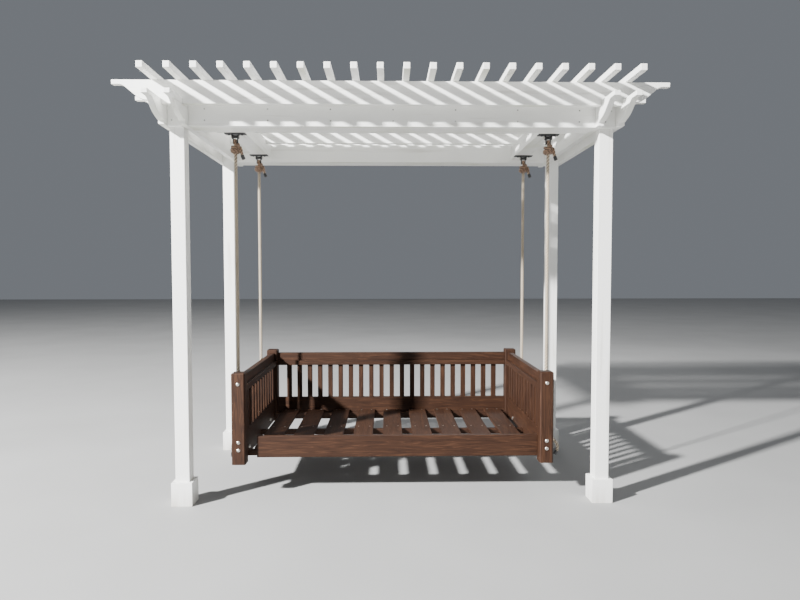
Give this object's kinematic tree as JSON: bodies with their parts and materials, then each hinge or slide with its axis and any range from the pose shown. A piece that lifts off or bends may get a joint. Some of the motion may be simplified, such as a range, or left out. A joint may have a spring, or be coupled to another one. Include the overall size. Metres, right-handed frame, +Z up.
{
  "type": "pergola with swing bed",
  "caption": "Open white timber pergola with shaped rafters and shade slats, and a slatted daybed hung on ropes beneath it.",
  "frame": {"origin": "on the floor at the centre of the four posts", "axes": "+X along the rafters to the right seen from the open front, +Y to the rear along the shade slats, +Z up"},
  "size_m": [3.36, 2.1, 2.672],
  "materials": {
    "painted_posts": "satin white paint",
    "painted_trim": "satin white paint",
    "painted_beams": "satin white paint",
    "painted_rafters": "satin white paint",
    "painted_slats": "satin white paint",
    "hanger_steel": "black powder coat",
    "bolt_zinc": "bright zinc",
    "rope_fibre": "three-strand natural fibre",
    "stained_wood": "dark brown stain"
  },
  "bodies": {
    "frame": {"post_front_left": "painted_posts", "post_front_right": "painted_posts", "post_rear_left": "painted_posts", "post_rear_right": "painted_posts", "post_skirts": "painted_trim", "side_beam_left_inner": "painted_beams", "side_beam_left_outer": "painted_beams", "side_beam_right_inner": "painted_beams", "side_beam_right_outer": "painted_beams", "cross_beam_front_outer": "painted_beams", "cross_beam_front_core": "painted_beams", "cross_beam_front_inner": "painted_beams", "cross_beam_rear_outer": "painted_beams", "cross_beam_rear_core": "painted_beams", "cross_beam_rear_inner": "painted_beams", "spacer_blocks": "painted_trim", "swing_beam_left": "painted_beams", "swing_beam_right": "painted_beams", "rafter_1": "painted_rafters", "rafter_2": "painted_rafters", "rafter_3": "painted_rafters", "rafter_4": "painted_rafters", "rafter_5": "painted_rafters", "shade_slats": "painted_slats", "hanger_brackets": "hanger_steel", "pivot_bolts": "bolt_zinc"},
    "front_ropes": {"yokes_front": "hanger_steel", "rope_front_left": "rope_fibre", "rope_front_right": "rope_fibre"},
    "rear_ropes": {"yokes_rear": "hanger_steel", "rope_rear_left": "rope_fibre", "rope_rear_right": "rope_fibre"},
    "bed": {"bed_post_front_left": "stained_wood", "bed_post_front_right": "stained_wood", "bed_post_rear_left": "stained_wood", "bed_post_rear_right": "stained_wood", "bed_end_panel_left": "stained_wood", "bed_end_panel_right": "stained_wood", "bed_back_panel": "stained_wood", "bed_front_rail": "stained_wood", "bed_bearers": "stained_wood", "mattress_boards": "stained_wood", "rope_bolts": "bolt_zinc"}
  },
  "joints": [
    {"name": "front_rope_swing", "type": "hinge", "parent": "frame", "child": "front_ropes", "pos_m": [0, -0.385, 2.391], "axis": [1, 0, 0], "range_deg": [-10, 10]},
    {"name": "bed_level", "type": "hinge", "parent": "front_ropes", "child": "bed", "pos_m": [0, -0.385, 0.3], "axis": [1, 0, 0], "range_deg": [-10, 10]},
    {"name": "rear_rope_swing", "type": "hinge", "parent": "frame", "child": "rear_ropes", "pos_m": [0, 0.385, 2.391], "axis": [1, 0, 0], "range_deg": [-10, 10]}
  ],
  "couplings": [
    {"joint": "bed_level", "follows": "front_rope_swing", "ratio": -1},
    {"joint": "rear_rope_swing", "follows": "front_rope_swing", "ratio": 1}
  ]
}
